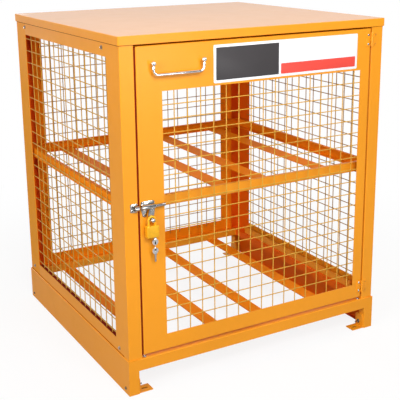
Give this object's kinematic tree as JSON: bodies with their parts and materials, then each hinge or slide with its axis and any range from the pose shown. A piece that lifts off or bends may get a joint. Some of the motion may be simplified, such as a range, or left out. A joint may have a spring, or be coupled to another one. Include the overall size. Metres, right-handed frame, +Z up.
{
  "type": "gas cylinder storage cabinet",
  "caption": "Free-standing welded steel cage cabinet with mesh sides, a shelf, slatted floor and a mesh door with barrel bolt, for storing gas cylinders on their sides outdoors.",
  "frame": {"origin": "on the ground, at the middle of the bounding box", "axes": "+X to the right seen from the door side, +Y from the door to the back, +Z up"},
  "size_m": [0.813, 0.7858, 0.932],
  "materials": {
    "powder_coat": "semi-gloss powder coat, orange-yellow",
    "mesh_coat": "semi-gloss powder coat over welded wire, orange-yellow",
    "bright_steel": "bright zinc plate",
    "padlock_case": "smooth yellow enamel"
  },
  "bodies": {
    "cabinet": {"roof_cap": "powder_coat", "front_left_post": "powder_coat", "front_right_post": "powder_coat", "rear_left_post": "powder_coat", "rear_right_post": "powder_coat", "left_top_rail": "powder_coat", "right_top_rail": "powder_coat", "left_bottom_rail": "powder_coat", "right_bottom_rail": "powder_coat", "left_mesh": "mesh_coat", "right_mesh": "mesh_coat", "left_base_skirt": "powder_coat", "right_base_skirt": "powder_coat", "rear_left_stile": "powder_coat", "rear_right_stile": "powder_coat", "rear_top_rail": "powder_coat", "rear_bottom_rail": "powder_coat", "rear_mesh": "mesh_coat", "front_top_rail": "powder_coat", "front_base_apron": "powder_coat", "rear_base_apron": "powder_coat", "front_left_anchor": "powder_coat", "front_right_anchor": "powder_coat", "rear_left_anchor": "powder_coat", "rear_right_anchor": "powder_coat", "floor_slats": "powder_coat", "shelf_front_rail": "powder_coat", "shelf_rear_rail": "powder_coat", "shelf_left_rail": "powder_coat", "shelf_right_rail": "powder_coat", "shelf_slats": "powder_coat", "upper_hinge_post_leaf": "powder_coat", "lower_hinge_post_leaf": "powder_coat", "bolt_keeper": "bright_steel"},
    "door": {"door_latch_stile": "powder_coat", "door_hinge_stile": "powder_coat", "door_top_rail": "powder_coat", "door_bottom_rail": "powder_coat", "door_mesh": "mesh_coat", "upper_hinge_door_leaf": "powder_coat", "lower_hinge_door_leaf": "powder_coat", "latch_barrel": "bright_steel", "handle_eyes": "bright_steel"},
    "bolt": {"bolt_rod": "bright_steel", "padlock_body": "padlock_case", "padlock_shackle": "bright_steel"},
    "handle": {"handle_bail": "bright_steel"}
  },
  "joints": [
    {"name": "door_hinge", "type": "hinge", "parent": "cabinet", "child": "door", "pos_m": [0.3625, -0.37012, 0.5055], "axis": [0, 0, 1], "range_deg": [0, 175]},
    {"name": "bolt_slide", "type": "slide", "parent": "door", "child": "bolt", "axis": [1, 0, 0], "range_m": [-0.02, 0]},
    {"name": "handle_swing", "type": "hinge", "parent": "door", "child": "handle", "pos_m": [-0.24925, -0.37862, 0.863], "axis": [-1, 0, 0], "range_deg": [0, 120]}
  ]
}
